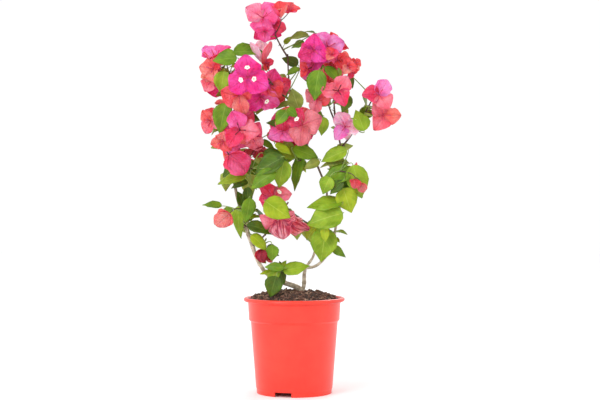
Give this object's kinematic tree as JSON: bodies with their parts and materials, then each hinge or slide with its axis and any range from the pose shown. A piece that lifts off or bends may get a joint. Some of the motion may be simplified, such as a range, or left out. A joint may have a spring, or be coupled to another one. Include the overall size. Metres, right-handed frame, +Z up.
{
  "type": "potted bougainvillea bush",
  "caption": "Flowering climber with pink three-bracted blooms and oval leaves on thin woody stems, in a round red nursery pot.",
  "frame": {"origin": "on the ground under the middle of the plant, which is the pot's axis", "axes": "+Z up, the plant's front faces -Y, +X to the right seen from the front"},
  "size_m": [0.3412, 0.2207, 0.6611],
  "materials": {
    "pot_plastic": "satin moulded polypropylene",
    "potting_mix": "rough, crumbly, matte",
    "bark": "rough grey-brown bark",
    "leaf": "softly waxy",
    "bract": "papery, matte",
    "flower": "small cream-white flowers, matte"
  },
  "bodies": {
    "root": {"pot": "pot_plastic", "potting_mix": "potting_mix", "trunk": "bark", "left_stem_lower": "bark", "left_stem_upper": "bark", "upright_stem": "bark", "right_stem_lower": "bark", "right_stem_upper": "bark", "centre_stem_lower": "bark", "centre_stem_upper": "bark", "crown_tip": "bract", "upper_left": "bract", "upper_middle_front": "bract", "upper_middle_back": "leaf", "upper_right": "bract", "upper_right_front": "leaf", "upper_right_back": "leaf", "right_outlier": "bract", "middle_left": "leaf", "middle_right": "leaf", "middle_centre": "leaf", "middle_back": "leaf", "leafy_left_front": "leaf", "leafy_left_back": "leaf", "leafy_centre": "leaf", "leafy_right_front": "leaf", "leafy_right_back": "leaf", "low_right": "leaf", "low_left": "leaf", "low_centre": "leaf", "low_back": "leaf", "foot_left": "leaf", "foot_front": "leaf"}
  },
  "joints": []
}
